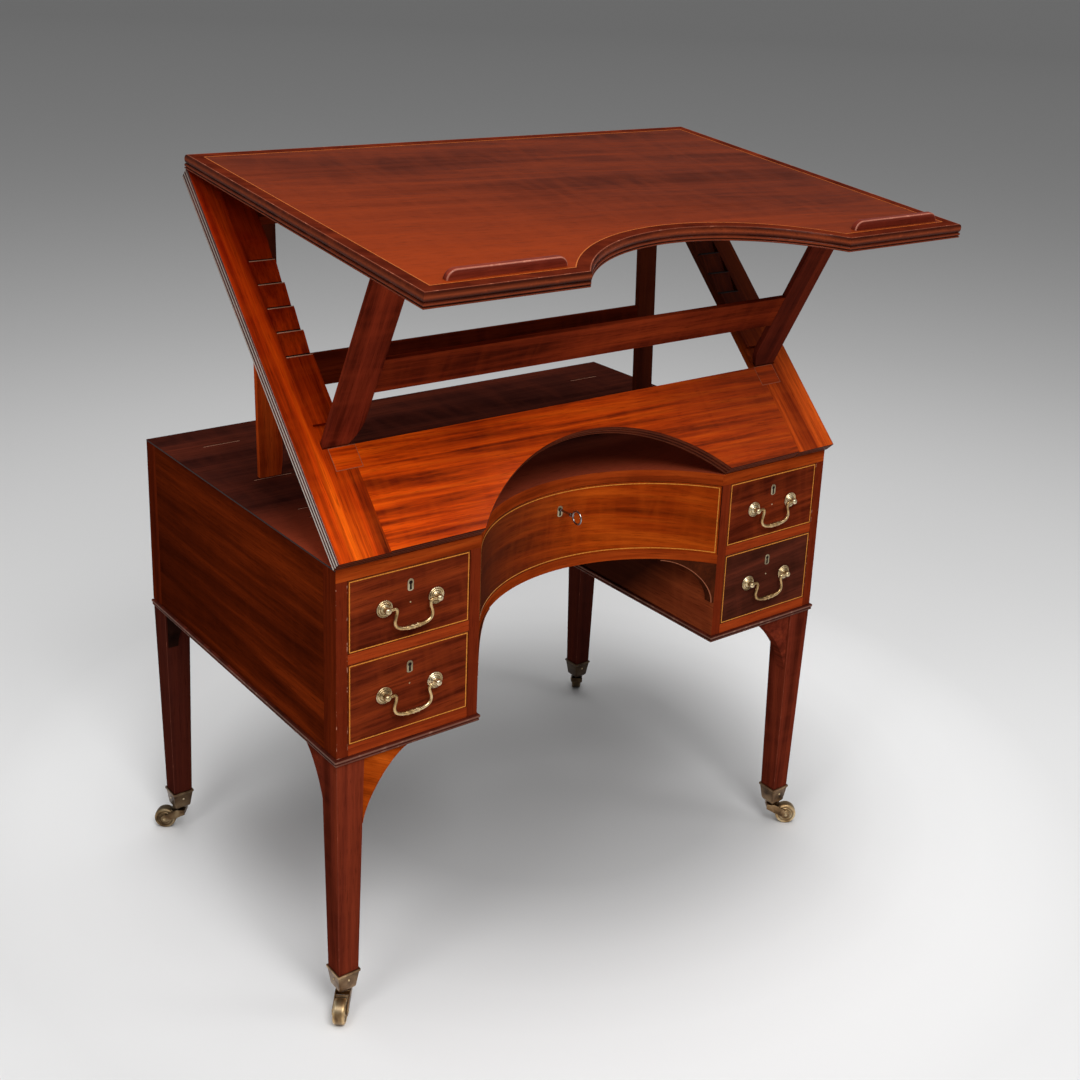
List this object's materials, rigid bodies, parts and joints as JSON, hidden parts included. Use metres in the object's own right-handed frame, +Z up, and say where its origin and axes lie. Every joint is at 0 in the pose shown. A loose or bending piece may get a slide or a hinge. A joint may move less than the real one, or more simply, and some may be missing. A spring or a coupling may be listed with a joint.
{
  "type": "architect's desk",
  "caption": "Mahogany architect's desk on tapered legs with casters: a bowed pedestal case with drawers, a propped rising leaf and, above it, a propped tilting drawing board.",
  "frame": {"origin": "on the floor, under the middle of the desk's overall box, with both leaves raised as pictured", "axes": "+Z up, -Y out of the drawer fronts towards the user, +X to the user's right"},
  "size_m": [0.9846, 0.8666, 1.2293],
  "materials": {
    "mahogany": "figured red-brown mahogany, waxed and polished",
    "dark_mahogany": "dark plain mahogany, waxed",
    "bright_mahogany": "bright orange-red figured mahogany, polished",
    "brass": "pale antique brass with dark in the hollows",
    "worn_brass": "dull dark worn brass",
    "steel": "grey worn steel"
  },
  "bodies": {
    "case": {"case_top": "mahogany", "left_side": "mahogany", "right_side": "mahogany", "left_inner_side": "mahogany", "right_inner_side": "mahogany", "back_panel": "mahogany", "left_divider": "mahogany", "right_divider": "mahogany", "left_base": "dark_mahogany", "right_base": "dark_mahogany", "kneehole_soffit": "mahogany", "left_spandrel": "mahogany", "right_spandrel": "mahogany", "front_left_leg": "dark_mahogany", "front_right_leg": "dark_mahogany", "back_left_leg": "dark_mahogany", "back_right_leg": "dark_mahogany", "front_left_socket": "worn_brass", "front_right_socket": "worn_brass", "back_left_socket": "worn_brass", "back_right_socket": "worn_brass"},
    "lower_leaf": {"left_stile": "mahogany", "right_stile": "mahogany", "slope_panel": "bright_mahogany", "leaf_top_rail": "mahogany"},
    "rear_prop": {"rear_prop_left_leg": "dark_mahogany", "rear_prop_right_leg": "dark_mahogany", "rear_prop_stretcher": "dark_mahogany"},
    "upper_leaf": {"drawing_board": "mahogany", "left_ledge": "mahogany", "right_ledge": "mahogany"},
    "front_prop": {"front_prop_left_leg": "dark_mahogany", "front_prop_right_leg": "dark_mahogany", "front_prop_stretcher": "dark_mahogany"},
    "left_upper_drawer": {"left_upper_drawer": "mahogany", "left_upper_post_left": "brass", "left_upper_post_right": "brass"},
    "left_lower_drawer": {"left_lower_drawer": "mahogany", "left_lower_post_left": "brass", "left_lower_post_right": "brass"},
    "right_upper_drawer": {"right_upper_drawer": "mahogany", "right_upper_post_left": "brass", "right_upper_post_right": "brass"},
    "right_lower_drawer": {"right_lower_drawer": "mahogany", "right_lower_post_left": "brass", "right_lower_post_right": "brass"},
    "centre_drawer": {"centre_drawer": "mahogany"},
    "left_upper_bail": {"left_upper_bail": "brass"},
    "left_lower_bail": {"left_lower_bail": "brass"},
    "right_upper_bail": {"right_upper_bail": "brass"},
    "right_lower_bail": {"right_lower_bail": "brass"},
    "key": {"key": "steel"},
    "front_left_caster": {"front_left_horn": "worn_brass"},
    "front_right_caster": {"front_right_horn": "worn_brass"},
    "back_left_caster": {"back_left_horn": "worn_brass"},
    "back_right_caster": {"back_right_horn": "worn_brass"},
    "front_left_wheel": {"front_left_wheel": "worn_brass"},
    "front_right_wheel": {"front_right_wheel": "worn_brass"},
    "back_left_wheel": {"back_left_wheel": "worn_brass"},
    "back_right_wheel": {"back_right_wheel": "worn_brass"}
  },
  "joints": [
    {"name": "lower_leaf_hinge", "type": "hinge", "parent": "case", "child": "lower_leaf", "pos_m": [0, -0.21402, 0.7323], "axis": [1, 0, 0], "range_deg": [0, 40]},
    {"name": "rear_prop_hinge", "type": "hinge", "parent": "lower_leaf", "child": "rear_prop", "pos_m": [0, 0.17078, 1.1281], "axis": [-1, 0, 0], "range_deg": [0, 40]},
    {"name": "board_hinge", "type": "hinge", "parent": "lower_leaf", "child": "upper_leaf", "pos_m": [0, 0.21115, 1.20848], "axis": [-1, 0, 0], "range_deg": [0, 40]},
    {"name": "front_prop_hinge", "type": "hinge", "parent": "upper_leaf", "child": "front_prop", "pos_m": [0, -0.2535, 1.1524], "axis": [1, 0, 0], "range_deg": [0, 66]},
    {"name": "left_upper_drawer_slide", "type": "slide", "parent": "case", "child": "left_upper_drawer", "axis": [0, -1, 0], "range_m": [0, 0.4]},
    {"name": "left_lower_drawer_slide", "type": "slide", "parent": "case", "child": "left_lower_drawer", "axis": [0, -1, 0], "range_m": [0, 0.4]},
    {"name": "right_upper_drawer_slide", "type": "slide", "parent": "case", "child": "right_upper_drawer", "axis": [0, -1, 0], "range_m": [0, 0.4]},
    {"name": "right_lower_drawer_slide", "type": "slide", "parent": "case", "child": "right_lower_drawer", "axis": [0, -1, 0], "range_m": [0, 0.4]},
    {"name": "centre_drawer_slide", "type": "slide", "parent": "case", "child": "centre_drawer", "axis": [0, -1, 0], "range_m": [0, 0.35]},
    {"name": "left_upper_bail_hinge", "type": "hinge", "parent": "left_upper_drawer", "child": "left_upper_bail", "pos_m": [-0.3565, -0.22382, 0.6569], "axis": [-1, 0, 0], "range_deg": [-8, 95]},
    {"name": "left_lower_bail_hinge", "type": "hinge", "parent": "left_lower_drawer", "child": "left_lower_bail", "pos_m": [-0.3565, -0.22382, 0.5234], "axis": [-1, 0, 0], "range_deg": [-8, 95]},
    {"name": "right_upper_bail_hinge", "type": "hinge", "parent": "right_upper_drawer", "child": "right_upper_bail", "pos_m": [0.3565, -0.22382, 0.6569], "axis": [-1, 0, 0], "range_deg": [-8, 95]},
    {"name": "right_lower_bail_hinge", "type": "hinge", "parent": "right_lower_drawer", "child": "right_lower_bail", "pos_m": [0.3565, -0.22382, 0.5234], "axis": [-1, 0, 0], "range_deg": [-8, 95]},
    {"name": "key_turn", "type": "hinge", "parent": "centre_drawer", "child": "key", "pos_m": [0, -0.09202, 0.6805], "axis": [0, -1, 0], "range_deg": [0, 180]},
    {"name": "front_left_swivel", "type": "hinge", "parent": "case", "child": "front_left_caster", "pos_m": [-0.4525, -0.19152, 0.0385], "axis": [0, 0, 1], "continuous": true},
    {"name": "front_right_swivel", "type": "hinge", "parent": "case", "child": "front_right_caster", "pos_m": [0.4525, -0.19152, 0.0385], "axis": [0, 0, 1], "continuous": true},
    {"name": "back_left_swivel", "type": "hinge", "parent": "case", "child": "back_left_caster", "pos_m": [-0.4525, 0.39348, 0.0385], "axis": [0, 0, 1], "continuous": true},
    {"name": "back_right_swivel", "type": "hinge", "parent": "case", "child": "back_right_caster", "pos_m": [0.4525, 0.39348, 0.0385], "axis": [0, 0, 1], "continuous": true},
    {"name": "front_left_roll", "type": "hinge", "parent": "front_left_caster", "child": "front_left_wheel", "pos_m": [-0.46921, -0.21143, 0.019], "axis": [0.766, -0.6428, 0], "continuous": true},
    {"name": "front_right_roll", "type": "hinge", "parent": "front_right_caster", "child": "front_right_wheel", "pos_m": [0.47299, -0.20752, 0.019], "axis": [0.6157, 0.788, 0], "continuous": true},
    {"name": "back_left_roll", "type": "hinge", "parent": "back_left_caster", "child": "back_left_wheel", "pos_m": [-0.47299, 0.40949, 0.019], "axis": [-0.6157, -0.788, 0], "continuous": true},
    {"name": "back_right_roll", "type": "hinge", "parent": "back_right_caster", "child": "back_right_wheel", "pos_m": [0.46851, 0.41397, 0.019], "axis": [-0.788, 0.6157, 0], "continuous": true}
  ],
  "couplings": [
    {"joint": "front_prop_hinge", "follows": "board_hinge", "ratio": 1.65}
  ]
}
